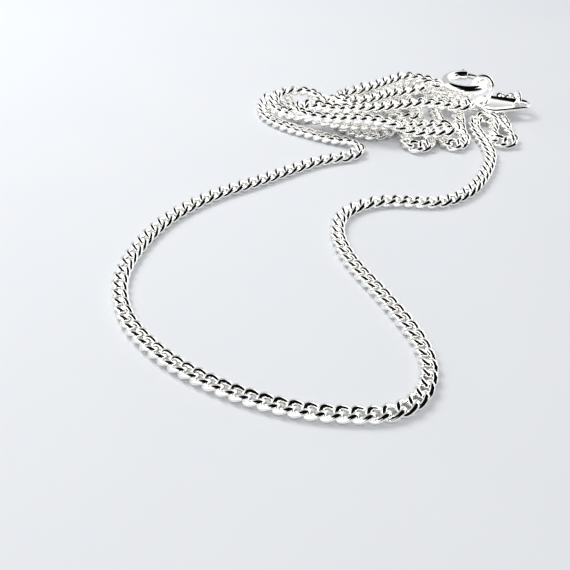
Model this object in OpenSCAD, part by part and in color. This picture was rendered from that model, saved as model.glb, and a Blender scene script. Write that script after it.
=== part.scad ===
// A fine curb chain necklace with a spring ring clasp, lying in a heap.
// Millimetres. +X to the viewer's right, +Y away from the viewer, +Z up from the table.

/* [Chain] */
// Thickness of the link wire
wire_d = 0.4; // [0.36:0.01:0.42]
// Outer width of a link, across the chain
link_w = 1.7; // [1.65:0.01:1.8]
// Outer length of a link, along the chain
link_l = 2.16; // [2.12:0.01:2.2]
// How far the twist lifts and drops the middle of the wire
link_twist = 0.33; // [0.31:0.01:0.35]
// Distance from one link to the next
link_pitch = 1.2; // [1.18:0.005:1.22]
// Share of the link's width and height that a plain strand takes
strand_share = 0.9; // [0.8:0.01:0.95]

/* [Spring ring] */
// Outer diameter of the ring
ring_od = 6; // [5.8:0.1:6.2]
// Thickness of the ring's tube
tube_d = 1.3; // [1.2:0.05:1.35]
// Diameter of the bore that the bolt runs in
bore_d = 0.8; // [0.7:0.01:0.84]
// Radial clearance between the bolt and its bore
bolt_gap = 0.05; // [0.02:0.01:0.1]
// Mouth of the ring that the bolt closes, degrees
mouth_sweep = 40; // [30:1:50]
// How far the bolt's tip sits in its seat, degrees
seat_sweep = 6; // [4:1:8]
// Travel of the trigger, degrees
bolt_travel = 44; // [34:1:48]
// Diameter of the trigger's stem
stem_d = 0.4; // [0.3:0.02:0.46]
// Diameter of the trigger's knob
knob_d = 0.76; // [0.6:0.02:0.9]
// Running clearance of the stem in its slot
slot_gap = 0.06; // [0.04:0.01:0.1]
// Wire of the soldered end loop
end_loop_wire = 0.45; // [0.4:0.01:0.5]
// Outer diameter of the end loop
end_loop_od = 1.95; // [1.9:0.05:2.1]

/* [Jump rings] */
// Wire of the tall ring between the clasp and the tab
tall_wire = 0.6; // [0.5:0.02:0.64]
// Outer width of the tall ring
tall_w = 2.9; // [2.8:0.05:3]
// Outer height of the tall ring
tall_h = 4.9; // [4.8:0.05:5]
// Lean of the tall ring towards the viewer, degrees
tall_lean = 12; // [8:1:14]
// Swing of the tall ring's foot in towards the ring, degrees
tall_swing = 13; // [10:1:15]
// Wire of the two small rings
small_wire = 0.4; // [0.36:0.01:0.42]
// Outer diameter of the ring at the end loop
start_od = 2.2; // [2.15:0.05:2.3]
// Outer diameter of the ring at the tab's tip
tip_ring_od = 2.4; // [2.35:0.05:2.5]

/* [Tab] */
// Thickness of the leaf-shaped tab
tab_t = 0.6; // [0.5:0.05:0.65]
// Width of the tab at its broad end
tab_w = 4.4; // [4.2:0.1:4.6]
// Width of the tab at its tip
tip_w = 2.5; // [2.4:0.05:2.6]
// Distance between the centres of the broad end and the tip
tab_reach = 3.6; // [3.5:0.05:3.7]
// Diameter of the hole for the tall ring
root_hole_d = 1.3; // [1.25:0.05:1.4]
// Diameter of the hole at the tip
tip_hole_d = 1.64; // [1.6:0.02:1.7]

/* [Hidden] */
silver = [0.86, 0.87, 0.89];
shade = [0.72, 0.74, 0.77];
curve_fn = 48;
small_cut = 0.2;

// Middle of the lying necklace on the table, which becomes the row's origin
origin_at = [0.64, -1.69, 0.03];

// Route of the chain. Columns: x, y, lift of the strand's underside, roll about its own line.
front_route = [
  [-1, 9.4, 0, 0], [-3, 8.7, 0, 0], [-5.5, 7.2, 0, 0], [-10, 4.1, 0, 0], [-15, 0.8, 0, 0], [-19, -3.6, 0, 0],
  [-21.4, -9, 0, 0], [-22.1, -14, 0, 0], [-20.8, -19, 0, 0], [-17.5, -23.5, 0, 0], [-13, -27, 0, 0],
  [-7.5, -29.5, 0, 0], [-2.5, -30.4, 0, 0], [1, -30.2, 0, 0], [3.2, -28.8, 0, 0], [4.4, -26, 0, 0],
  [4.2, -22.5, 0, 0], [2.1, -17, 0, 0], [-0.9, -10.5, 0, 0], [-1.8, -6, 0, 0], [-1.2, -3.2, 0, 0],
  [0.4, -1.3, 0, 0], [3.5, -0.1, 0, 0], [9.5, -0.2, 0, 0], [12.7, 1.8, 0, 0], [15.3, 5.7, 0, 0],
  [16.8, 10, 0, 0], [16.8, 13, 0, 0]
];
floor_layer = [
  [-1, 9.4, 0, 0], [0.8, 9.9, 0, 20], [1.7, 11.3, 0, 40], [0.8, 13, 0, 20], [-1.5, 14.2, 0, 0],
  [-4, 15.6, 0, 0], [-7, 17.6, 0, 0], [-9.4, 20.4, 0, 0], [-9.9, 23.6, 0, 0], [-8.9, 25.8, 0, 20],
  [-7.3, 25.8, 0, 30], [-6.5, 24, 0, 20], [-6.3, 22, 0, 10], [-5.6, 20.2, 0, 20], [-4.2, 19.8, 0, 30],
  [-3.4, 21.4, 0, 20], [-3.3, 23.4, 0, 10], [-2.3, 25, 0, 20], [-0.7, 24.7, 0, 20], [-0.2, 22.5, 0, 0],
  [-0.6, 20, 0, 0], [-0.2, 17.6, 0, 0], [1.4, 15.9, 0, 0], [3.8, 15.1, 0, 0], [5.7, 15.9, 0, 20],
  [5.7, 17.8, 0, 20], [4.2, 19.4, 0, 0], [2.9, 21.5, 0, 0], [2.6, 24.2, 0, 0], [3.5, 26.2, 0, 20],
  [5.2, 26.2, 0, 20], [6.1, 24.4, 0, 0], [7, 21.5, 0, 0], [7.9, 18.5, 0, 0], [7.6, 15, 0, 0],
  [7.5, 12.9, 0, 20], [8.8, 11.5, 0, 40], [10.1, 12.8, 0, 30], [10.3, 14.8, 0, 0], [10.1, 18, 0, 0],
  [9.4, 21.5, 0, 0], [9, 24.8, 0, 0], [9.7, 27.8, 0, 20], [11.4, 28.1, 0, 20], [12.2, 25.4, 0, 0],
  [12.2, 22.5, 0, 0], [12.3, 18.5, 0, 0], [12, 14.8, 0, 0], [12, 13.3, 0, 20], [13.2, 12.2, 0, 30],
  [14.4, 13.4, 0, 20], [14.4, 15.6, 0.05, 10], [14.5, 18, 0.8, 0]
];
middle_layer = [
  [14.4, 20.4, 1.3, 0], [12.7, 22.8, 1.3, 0], [12.3, 24.8, 1.25, 0], [11, 26.3, 1.45, 0],
  [9.3, 26.9, 1.5, 0], [7.8, 26.2, 1.4, 0], [7.5, 24.3, 1.3, 0], [8.2, 22, 1.2, 0], [9.4, 19.6, 1.2, 0],
  [8.8, 17.6, 1.3, 20], [7, 17.8, 1.3, 20], [6, 20.2, 1.2, 0], [5.6, 22.8, 1.2, 0], [5.6, 24.9, 1.3, 0],
  [4.5, 26.4, 1.4, 10], [2.8, 26, 1.4, 10], [1.9, 24.2, 1.3, 0], [1.4, 22, 1.2, 0], [2.3, 19.5, 1.2, 10],
  [1.4, 17.5, 1.2, 20], [-0.4, 17.7, 1.2, 20], [-1.7, 19.8, 1.2, 0], [-2.4, 22, 1.3, 0],
  [-3.5, 24.2, 1.4, 10], [-5.3, 25, 1.4, 10], [-7.2, 24.4, 1.5, 10], [-8.4, 22.8, 1.3, 0],
  [-8.3, 20.6, 1.2, 0], [-6.9, 18.9, 1.2, 10], [-4.9, 17.9, 1.3, 10], [-3.1, 16.9, 1.3, 10],
  [-1.4, 15.9, 1.3, 0], [0.6, 15.5, 1.25, 0], [4, 15.45, 1.2, 0], [7, 15.45, 1.2, 0], [10, 15.45, 1.2, 0],
  [12.2, 15.3, 1.2, 10], [13.3, 14.4, 1.25, 20], [12.4, 13.4, 1.25, 20], [10.5, 13.4, 1.2, 0],
  [8.5, 13.4, 1.3, 0], [6.8, 13.5, 1.8, 0], [5.2, 13.8, 2.3, 0], [3.2, 14.4, 2.4, 0], [1, 14.8, 2.4, 0],
  [-1.2, 14.9, 2.4, 0], [-3.7, 15.4, 2.4, 10], [-5.3, 16.6, 2.45, 20], [-4.8, 18.2, 2.45, 20],
  [-3, 18.4, 2.4, 10]
];

// The layer that the ring lies in, measured from the ring's middle
top_layer = [
  [-16.9, -5.9, -1.35, 0], [-14.7, -6.2, -1.15, 0], [-11.9, -6.1, -1.15, 0], [-8.9, -5.3, -1.15, 0],
  [-5.9, -4.7, -1.15, 0], [-3.3, -5.3, -1.15, 0], [-1.3, -5.4, -1.25, 20], [0.1, -3.7, -1.65, 20],
  [-0.4, -1.3, -2.15, 0], [-1.9, 0.5, -2.15, 0], [-3.5, 1.6, -1.25, 0], [-5.3, 2.5, -1.05, 0],
  [-7.1, 3, -0.95, 0], [-8.9, 2.2, -1.05, 0], [-11.3, 0.4, -1.05, 0], [-13.5, -1, -1.15, 0],
  [-15, -1.6, -1.15, 10], [-16.2, -2.8, -1.15, 20], [-15.4, -4.2, -1.15, 10], [-13.5, -4.1, -1.15, 0],
  [-11.3, -3, -1.15, 0], [-9.3, -1.6, -1.25, 0], [-7.7, -1.1, -1.3, 0]
];

side_strand = [
  [16.8, 13, 0, 0], [16.5, 15.5, 0, 0], [16.4, 17.6, 0, 10], [17.2, 19.2, 0, 30], [18.6, 19.1, 0, 50],
  [18.8, 17.2, 0, 60], [18.2, 15.2, 0, 60], [18.1, 13.6, 0, 50], [19.2, 12.6, 0, 50], [20.3, 13.6, 0, 50],
  [20.2, 15.5, 0, 50], [20.3, 17.6, 0, 20], [20.3, 20, 0, 0], [20.3, 22.4, 0, 0], [20.5, 24.7, 0, 0],
  [21.6, 26.1, 0, 0]
];

// How finely the route is worked out, and the facets of links and strands
spans = 12;
link_sides = 10;
wire_sides = 5;
strand_sides = 8;
ring_spacing = 3.1;
end_links = 2;
strand_gap = 0.3;
end_step = 0.4;

// A link's centre line
link_a = (link_l - wire_d) / 2;
link_b = (link_w - wire_d) / 2;
half_h = link_twist + wire_d / 2;
half_w = link_w / 2;

// Ring
ring_at = [15.9, 23.4, 3.75];
tube_r = tube_d / 2;
bore_r = bore_d / 2;
bolt_r = bore_r - bolt_gap;
ring_mid_r = ring_od / 2 - tube_r;
mouth_from = 30;
mouth_to = mouth_from + mouth_sweep;
seat_play = 2;
bolt_from = mouth_from - seat_sweep + seat_play;
trigger_shift = 12;
trigger_angle = mouth_to + trigger_shift;
bolt_tail = 30;
bolt_sweep = trigger_angle + bolt_tail - bolt_from;
bore_sweep = trigger_angle + bolt_tail + bolt_travel + seat_play - mouth_to;
stem_play = 6;
slot_sweep = bolt_travel + 2 * stem_play;
slot_h = stem_d + 2 * slot_gap;
knob_gap = 0.1;
knob_r = knob_d / 2;
knob_at = ring_mid_r + tube_r + knob_gap + knob_r;

// End loop, soldered to the tube's wall
loop_angle = 188;
solder = 0.15;
end_loop_r = (end_loop_od - end_loop_wire) / 2;
end_loop_at = ring_od / 2 - solder + end_loop_od / 2;
loop_far = end_loop_at + end_loop_r;

// Ring between the end loop and the chain
link_play = 0.18;
start_r = (start_od - small_wire) / 2;
start_shift = 0.18;
start_drop = 0.34;
start_at = loop_far + start_shift;
start_link_drop = 0.19;
start_link_reach = sqrt(start_r * start_r - start_link_drop * start_link_drop);
first_link_at = start_at + start_link_reach - (wire_d + small_wire) / 2 - link_play + link_a;
loop_way = [cos(loop_angle), sin(loop_angle), 0];

// Tall ring round the tube
tall_angle = -22;
tall_gap = 0.15;
tall_half_w = (tall_w - tall_wire) / 2;
tall_straight = (tall_h - tall_w) / 2;
tall_drop = (tall_h - tall_wire) / 2 - tube_r - tall_gap - tall_wire / 2;

// Tab
tab_from_ring = [3.5, -1.6, -2.5];
tab_at = ring_at + tab_from_ring;
tab_turn = -3;
root_rim = 0.65;
root_hole_x = -tab_w / 2 + root_rim + root_hole_d / 2;

// Ring at the tab's tip, through the tip hole's far rim
tip_at = tab_at + [tab_reach * cos(tab_turn), tab_reach * sin(tab_turn), tab_t / 2];
tip_rim_play = 0.6;
tip_ring_r = (tip_ring_od - small_wire) / 2;
tip_ring_at = tip_at + [0, tip_hole_d / 2 + tip_rim_play, 0];
last_link_drop = 0.45;
last_link_reach = sqrt(tip_ring_r * tip_ring_r - last_link_drop * last_link_drop);
last_link_y = tip_ring_at.y + last_link_reach - (wire_d + small_wire) / 2 - link_play + link_a;
last_link_z = tip_ring_at.z - last_link_drop;
last_bend = 1;
last_bend_drop = 0.27;

top_route = [for (p = top_layer) [for (k = [0 : 2]) ring_at[k] + p[k], p[3]]];
first_link = ring_at + first_link_at * loop_way + [0, 0, -start_drop - start_link_drop - half_h];
heap_route = concat(floor_layer, middle_layer, top_route, [[first_link.x, first_link.y, first_link.z, 0]]);
side_route = concat(side_strand,
  [[tip_ring_at.x, last_link_y + last_bend, last_link_z - half_h - last_bend_drop, 0],
   [tip_ring_at.x, last_link_y, last_link_z - half_h, 0]]);

function unit(v) = v / norm(v);
function place(p) = [p[0], p[1], p[2]];
function apart(p, q) = norm(place(q) - place(p));
function last(list) = list[len(list) - 1];

// A strand lies on its edge as its roll grows, so its middle rises
function half_rise(roll) = norm([half_h * cos(roll), half_w * sin(roll)]);
function raised(p) = [p[0], p[1], p[2] + half_rise(p[3]), p[3]];

// Point at share t between p1 and p2 on a smooth curve through all four
function bent(p0, p1, p2, p3, t) =
  let (
    t01 = sqrt(apart(p0, p1)),
    t12 = sqrt(apart(p1, p2)),
    t23 = sqrt(apart(p2, p3)),
    m1 = (p2 - p1) + t12 * ((p1 - p0) / t01 - (p2 - p0) / (t01 + t12)),
    m2 = (p2 - p1) + t12 * ((p3 - p2) / t23 - (p3 - p1) / (t12 + t23)),
    a = 2 * (p1 - p2) + m1 + m2,
    b = -3 * (p1 - p2) - 2 * m1 - m2
  )
  ((a * t + b) * t + m1) * t + p1;

function smooth(route) =
  let (
    n = len(route),
    q = concat([2 * route[0] - route[1]], route, [2 * route[n - 1] - route[n - 2]])
  )
  concat(
    [
      for (i = [1 : n - 1])
        for (k = [0 : spans - 1])
          raised(bent(q[i - 1], q[i], q[i + 1], q[i + 2], k / spans))
    ],
    [raised(route[n - 1])]
  );

function next_length(line, i) = i + 1 < len(line) ? apart(line[i], line[i + 1]) : 0;
function lengths(line) = [for (i = 0, s = 0; i < len(line); s = s + next_length(line, i), i = i + 1) s];

// Evenly spaced stations along a smooth line, from one length to another
function stations(line, from, to, count) =
  let (
    s = lengths(line),
    tables = [for (k = [0 : 3]) [for (i = [0 : len(line) - 1]) [s[i], line[i][k]]]]
  )
  [for (j = [0 : count]) [for (k = [0 : 3]) lookup(from + (to - from) * j / count, tables[k])]];

function heading(line, i) = unit(place(line[min(i + 1, len(line) - 1)]) - place(line[max(i - 1, 0)]));
function across(way) = unit(cross([0, 0, 1], way));
function rolled_side(way, roll) = cos(roll) * across(way) + sin(roll) * cross(way, across(way));
function rolled_up(way, roll) = cos(roll) * cross(way, across(way)) - sin(roll) * across(way);

// One twisted link about its own middle
function link_line(j) =
  let (t = 360 * (j + 0.5) / link_sides)
  [link_a * cos(t), link_b * sin(t), -link_twist * sin(2 * t)];
link_mesh = [
  for (j = [0 : link_sides - 1])
    let (
      way = unit(link_line(j + 1) - link_line(j - 1)),
      side = across(way),
      up = cross(way, side)
    )
    for (k = [0 : wire_sides - 1])
      let (w = 360 * (k + 0.5) / wire_sides)
      link_line(j) + wire_d / 2 * (cos(w) * side + sin(w) * up)
];
function link_faces(base) = [
  for (j = [0 : link_sides - 1])
    for (k = [0 : wire_sides - 1])
      let (
        here = base + j * wire_sides,
        there = base + (j + 1) % link_sides * wire_sides,
        k2 = (k + 1) % wire_sides
      )
      for (f = [[here + k, there + k2, here + k2], [here + k, there + k, there + k2]]) f
];
function linked(line) = [
  for (i = [0 : len(line) - 1])
    let (
      way = heading(line, i),
      side = rolled_side(way, line[i][3]),
      up = rolled_up(way, line[i][3])
    )
    for (p = link_mesh) place(line[i]) + p.x * way + p.y * side + p.z * up
];

// A plain strand with the chain's flat section
function strand_ring(line, i) =
  let (
    way = heading(line, i),
    side = rolled_side(way, line[i][3]),
    up = rolled_up(way, line[i][3])
  )
  [
    for (k = [0 : strand_sides - 1])
      let (w = 360 * (k + 0.5) / strand_sides)
      place(line[i]) + strand_share * (half_w * cos(w) * side + half_h * sin(w) * up)
  ];
function strand(line) = [for (i = [0 : len(line) - 1]) for (p = strand_ring(line, i)) p];
function strand_faces(rings, base) =
  let (n = strand_sides, end = base + (rings - 1) * n)
  concat(
    [for (k = [1 : n - 2]) [base, base + k, base + k + 1]],
    [for (k = [1 : n - 2]) [end, end + k + 1, end + k]],
    [
      for (i = [0 : rings - 2])
        for (k = [0 : n - 1])
          let (here = base + i * n, there = here + n, k2 = (k + 1) % n)
          for (f = [[here + k, there + k2, here + k2], [here + k, there + k, there + k2]]) f
    ]
  );

// Stations of the links in front, of the two plain strands behind, and of the links at their ends
front_line = smooth(front_route);
front_length = last(lengths(front_line));
front_steps = round(front_length / link_pitch);
front_links = stations(front_line, 0, front_length, front_steps);

function strand_stations(line) =
  let (
    length = last(lengths(line)),
    step = length / round(length / link_pitch),
    from = link_l / 2 + strand_gap,
    to = length - (end_links - 1) * step - link_l / 2 - strand_gap,
    inner_from = from + end_step,
    inner_to = to - end_step
  )
  concat(
    [stations(line, from, to, 1)[0]],
    stations(line, inner_from, inner_to, round((inner_to - inner_from) / ring_spacing)),
    [stations(line, from, to, 1)[1]]
  );
function end_stations(line) =
  let (
    length = last(lengths(line)),
    step = length / round(length / link_pitch)
  )
  stations(line, length - (end_links - 1) * step, length, end_links - 1);

heap_line = smooth(heap_route);
side_line = smooth(side_route);
heap_strand = strand_stations(heap_line);
side_strand_line = strand_stations(side_line);
end_chain = [end_stations(heap_line), end_stations(side_line)];

module chain_front()
  color(silver)
    translate(-origin_at)
      polyhedron(
        points = linked(front_links),
        faces = [for (i = [0 : len(front_links) - 1]) for (f = link_faces(i * len(link_mesh))) f]
      );

module chain_heap() {
  heap_points = strand(heap_strand);
  side_points = strand(side_strand_line);
  first = len(heap_points) + len(side_points);
  color(silver)
    translate(-origin_at)
      polyhedron(
        points = concat(heap_points, side_points, linked(end_chain[0]), linked(end_chain[1])),
        faces = concat(
          strand_faces(len(heap_strand), 0),
          strand_faces(len(side_strand_line), len(heap_points)),
          [for (i = [0 : 2 * end_links - 1]) for (f = link_faces(first + i * len(link_mesh))) f]
        )
      );
}

// A round wire bent about the Z axis
module bent_wire(mid_r, wire_r, sweep = 360)
  rotate_extrude(angle = sweep, $fn = curve_fn)
    translate([mid_r, 0])
      circle(r = wire_r, $fn = curve_fn);

module on_ring(angle)
  translate(ring_at - origin_at)
    rotate([0, 0, angle])
      children();

module clasp_ring()
  color(silver)
    difference() {
      union() {
        on_ring(mouth_to)
          bent_wire(ring_mid_r, tube_r, 360 - mouth_sweep);
        on_ring(loop_angle)
          translate([end_loop_at, 0, 0])
            bent_wire(end_loop_r, end_loop_wire / 2);
      }
      on_ring(mouth_to - seat_play)
        bent_wire(ring_mid_r, bore_r, bore_sweep + seat_play);
      on_ring(mouth_from - seat_sweep)
        bent_wire(ring_mid_r, bore_r, seat_sweep + seat_play);
      on_ring(trigger_angle - stem_play)
        rotate_extrude(angle = slot_sweep, $fn = curve_fn)
          translate([ring_mid_r, -slot_h / 2])
            square([tube_r + small_cut, slot_h]);
    }

module clasp_bolt()
  color(shade) {
    on_ring(bolt_from)
      bent_wire(ring_mid_r, bolt_r, bolt_sweep);
    on_ring(trigger_angle)
      translate([ring_mid_r, 0, 0])
        rotate([0, 90, 0])
          cylinder(h = knob_at - ring_mid_r, d = stem_d, $fn = curve_fn);
    on_ring(trigger_angle)
      translate([knob_at, 0, 0])
        sphere(r = knob_r, $fn = curve_fn);
  }

// Tall ring: two half rounds and two straights, standing round the tube
module jump_ring_clasp()
  color(silver)
    on_ring(tall_angle)
      translate([ring_mid_r, 0, 0])
        rotate([-tall_lean, tall_swing, 0])
          translate([0, 0, -tall_drop])
            rotate([90, 0, 0]) {
              translate([0, tall_straight, 0])
                bent_wire(tall_half_w, tall_wire / 2, 180);
              translate([0, -tall_straight, 0])
                rotate([0, 0, 180])
                  bent_wire(tall_half_w, tall_wire / 2, 180);
              for (side = [-1, 1])
                translate([side * tall_half_w, -tall_straight, 0])
                  rotate([-90, 0, 0])
                    cylinder(h = 2 * tall_straight, d = tall_wire, $fn = curve_fn);
            }

module tab_outline()
  hull() {
    circle(d = tab_w, $fn = curve_fn);
    translate([tab_reach, 0])
      circle(d = tip_w, $fn = curve_fn);
  }

module chain_tab()
  color(silver)
    translate(tab_at - origin_at)
      rotate([0, 0, tab_turn])
        linear_extrude(height = tab_t)
          difference() {
            tab_outline();
            translate([root_hole_x, 0])
              circle(d = root_hole_d, $fn = curve_fn);
            translate([tab_reach, 0])
              circle(d = tip_hole_d, $fn = curve_fn);
          }

module jump_ring_tab()
  color(silver)
    translate(tip_ring_at - origin_at)
      rotate([0, 90, 0])
        bent_wire(tip_ring_r, small_wire / 2);

module jump_ring_start()
  color(silver)
    on_ring(loop_angle)
      translate([start_at, 0, -start_drop])
        rotate([90, 0, 0])
          bent_wire(start_r, small_wire / 2);

chain_front();
chain_heap();
clasp_ring();
clasp_bolt();
jump_ring_clasp();
chain_tab();
jump_ring_tab();
jump_ring_start();
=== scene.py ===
"""Looks for the curb chain necklace: its links, clasp, rings and tab in polished silver on a pale table.

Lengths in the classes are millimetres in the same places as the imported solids. They become metres when a mesh
is made.
"""

import logging
import math
from dataclasses import dataclass, field
from enum import Enum

import bpy
import numpy as np
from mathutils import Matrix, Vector

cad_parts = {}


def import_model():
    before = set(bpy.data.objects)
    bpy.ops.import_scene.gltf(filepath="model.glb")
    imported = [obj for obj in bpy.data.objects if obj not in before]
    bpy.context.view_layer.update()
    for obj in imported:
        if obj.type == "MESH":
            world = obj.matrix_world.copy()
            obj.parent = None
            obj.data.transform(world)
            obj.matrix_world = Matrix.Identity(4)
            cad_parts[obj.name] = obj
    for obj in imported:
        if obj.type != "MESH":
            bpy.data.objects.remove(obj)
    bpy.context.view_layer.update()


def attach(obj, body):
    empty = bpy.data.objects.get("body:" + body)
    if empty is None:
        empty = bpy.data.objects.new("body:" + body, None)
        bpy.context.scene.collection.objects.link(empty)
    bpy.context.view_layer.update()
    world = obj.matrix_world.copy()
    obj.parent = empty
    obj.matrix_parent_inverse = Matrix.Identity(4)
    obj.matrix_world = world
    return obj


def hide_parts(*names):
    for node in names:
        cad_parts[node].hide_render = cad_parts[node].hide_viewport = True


LOG = logging.getLogger("necklace")
MM = 0.001
Point = tuple[float, float, float]
# x, y, lift and roll, of which the last may be left out where they are 0
Station = tuple[float, ...]
Strand = tuple[Station, ...]

# Middle of the lying necklace on the table, which is the row's origin
ORIGIN_AT = np.array([0.64, -1.69, 0.03])
# Middle of the spring ring
RING_AT = np.array([15.9, 23.4, 3.75])
# The main directions: to the viewer's right, away from the viewer, and up
RIGHT, AWAY, UP = np.eye(3)
# Colour of the dark things that the metal mirrors
BLACK = "#08090B"


class Body(Enum):
    """The two bodies that pieces ride on."""

    NECKLACE = "necklace"
    BOLT = "bolt"


class Slot(Enum):
    """The record's material slots."""

    CHAIN = "chain_silver"
    CLASP = "clasp_silver"
    BOLT = "bolt_steel"


def linear(hex_colour: str, strength: float = 1.0) -> tuple[float, float, float, float]:
    """Turns an sRGB hex colour into linear light.

    Args:
        hex_colour: A # and six hex digits.
        strength: Brightness of the light, which may be over 1.

    Returns:
        Red, green, blue and a full alpha, as the shader wants them.
    """
    shares = [int(hex_colour[i : i + 2], 16) / 255 for i in (1, 3, 5)]
    red, green, blue = (s / 12.92 if s <= 0.04045 else ((s + 0.055) / 1.055) ** 2.4 for s in shares)
    return red * strength, green * strength, blue * strength, 1.0


def bare_tree(owner: bpy.types.Material | bpy.types.World) -> bpy.types.NodeTree:
    """Switches on the nodes of a material or a world and clears them.

    Args:
        owner: The material or the world.

    Returns:
        Its empty tree.
    """
    owner.use_nodes = True
    owner.node_tree.nodes.clear()
    return owner.node_tree


def add(
    tree: bpy.types.NodeTree, kind: str, inputs: dict[str | int, object] | None = None, **settings: object
) -> bpy.types.Node:
    """Adds a node with its settings, and fills its inputs with values or links.

    Args:
        tree: The tree that gets the node.
        kind: The node's type.
        inputs: Input names or numbers, each with a value or another node's output.
        settings: Properties of the node.

    Returns:
        The new node.
    """
    node = tree.nodes.new(kind)
    for name, value in settings.items():
        setattr(node, name, value)
    for name, value in (inputs or {}).items():
        if isinstance(value, bpy.types.NodeSocket):
            tree.links.new(value, node.inputs[name])
        else:
            node.inputs[name].default_value = value
    return node


@dataclass(frozen=True)
class PolishedSilver:
    """Sterling silver wire or sheet, drawn or stamped, soldered, and tumbled to a mirror.

    The eye gets clean white highlights, and near black lines where the metal mirrors something dark. A little
    of the polish is softer in patches, and handling leaves hairlines.

    Attributes:
        name: The material's name.
        bright: Colour where the polish is fresh.
        worn: Colour where it has dulled a little.
        gloss: Roughness of the freshest and the dullest polish.
        patch_mm: Width of a patch of one polish.
        patch_ends: Values of the noise at which the polish is freshest and dullest.
        grain: Share of finer noise in the patches.
        hairline_mm: Width of a hairline, drawn coarser than the real one so that it shows.
        hairline_stretch: Scale of the hairlines' noise along y, under 1 to draw them out.
        hairline_depth_mm: Depth of a hairline.
        hairline_strength: How strongly the hairlines bend the light.
    """

    name: str
    bright: str = "#FBFBFA"
    worn: str = "#F1F0ED"
    gloss: tuple[float, float] = (0.05, 0.11)
    patch_mm: float = 1.6
    patch_ends: tuple[float, float] = (0.3, 0.7)
    grain: float = 0.55
    hairline_mm: float = 0.12
    hairline_stretch: float = 0.25
    hairline_depth_mm: float = 0.01
    hairline_strength: float = 0.02

    def material(self) -> bpy.types.Material:
        """Builds the finish.

        Returns:
            The material.
        """
        material = bpy.data.materials.new(self.name)
        tree = bare_tree(material)
        place = add(tree, "ShaderNodeTexCoord").outputs["Object"]
        patches = add(
            tree,
            "ShaderNodeTexNoise",
            {"Vector": place, "Scale": 1 / (self.patch_mm * MM), "Detail": 3.0, "Roughness": self.grain},
        ).outputs["Fac"]
        mix = {"Factor": patches, 6: linear(self.bright), 7: linear(self.worn)}
        colour = add(tree, "ShaderNodeMix", mix, data_type="RGBA").outputs[2]
        (low, high), (fresh, dull) = self.patch_ends, self.gloss
        gloss = add(
            tree,
            "ShaderNodeMapRange",
            {"Value": patches, "From Min": low, "From Max": high, "To Min": fresh, "To Max": dull},
        ).outputs["Result"]
        stretched = add(
            tree, "ShaderNodeMapping", {"Vector": place, "Scale": (1.0, self.hairline_stretch, 1.0)}
        ).outputs["Vector"]
        fine = {"Vector": stretched, "Scale": 1 / (self.hairline_mm * MM), "Detail": 2.0}
        lines = add(tree, "ShaderNodeTexNoise", fine).outputs["Fac"]
        relief = add(
            tree,
            "ShaderNodeBump",
            {"Height": lines, "Strength": self.hairline_strength, "Distance": self.hairline_depth_mm * MM},
        ).outputs["Normal"]
        shader = add(
            tree,
            "ShaderNodeBsdfPrincipled",
            {"Base Color": colour, "Metallic": 1.0, "Roughness": gloss, "Normal": relief},
        )
        add(tree, "ShaderNodeOutputMaterial", {"Surface": shader.outputs["BSDF"]})
        return material


@dataclass(frozen=True)
class MattTable:
    """A table top covered with matt white paper.

    The eye gets a cool white, a little blotched, that carries soft grey shadows and no mirror image.

    Attributes:
        name: The material's name.
        sheet: Main colour of the paper.
        shade: Colour of the faintest blotches.
        roughness: How dull the paper is.
        blotch_mm: Width of a blotch.
    """

    name: str = "matt white paper"
    sheet: str = "#F2F4F7"
    shade: str = "#EEF0F4"
    roughness: float = 0.9
    blotch_mm: float = 14.0

    def material(self) -> bpy.types.Material:
        """Builds the finish.

        Returns:
            The material.
        """
        material = bpy.data.materials.new(self.name)
        tree = bare_tree(material)
        place = add(tree, "ShaderNodeTexCoord").outputs["Object"]
        blotches = add(
            tree, "ShaderNodeTexNoise", {"Vector": place, "Scale": 1 / (self.blotch_mm * MM), "Detail": 2.0}
        ).outputs["Fac"]
        mix = {"Factor": blotches, 6: linear(self.sheet), 7: linear(self.shade)}
        colour = add(tree, "ShaderNodeMix", mix, data_type="RGBA").outputs[2]
        shader = add(
            tree,
            "ShaderNodeBsdfPrincipled",
            {"Base Color": colour, "Roughness": self.roughness, "Specular IOR Level": 0.0},
        )
        add(tree, "ShaderNodeOutputMaterial", {"Surface": shader.outputs["BSDF"]})
        return material


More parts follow.
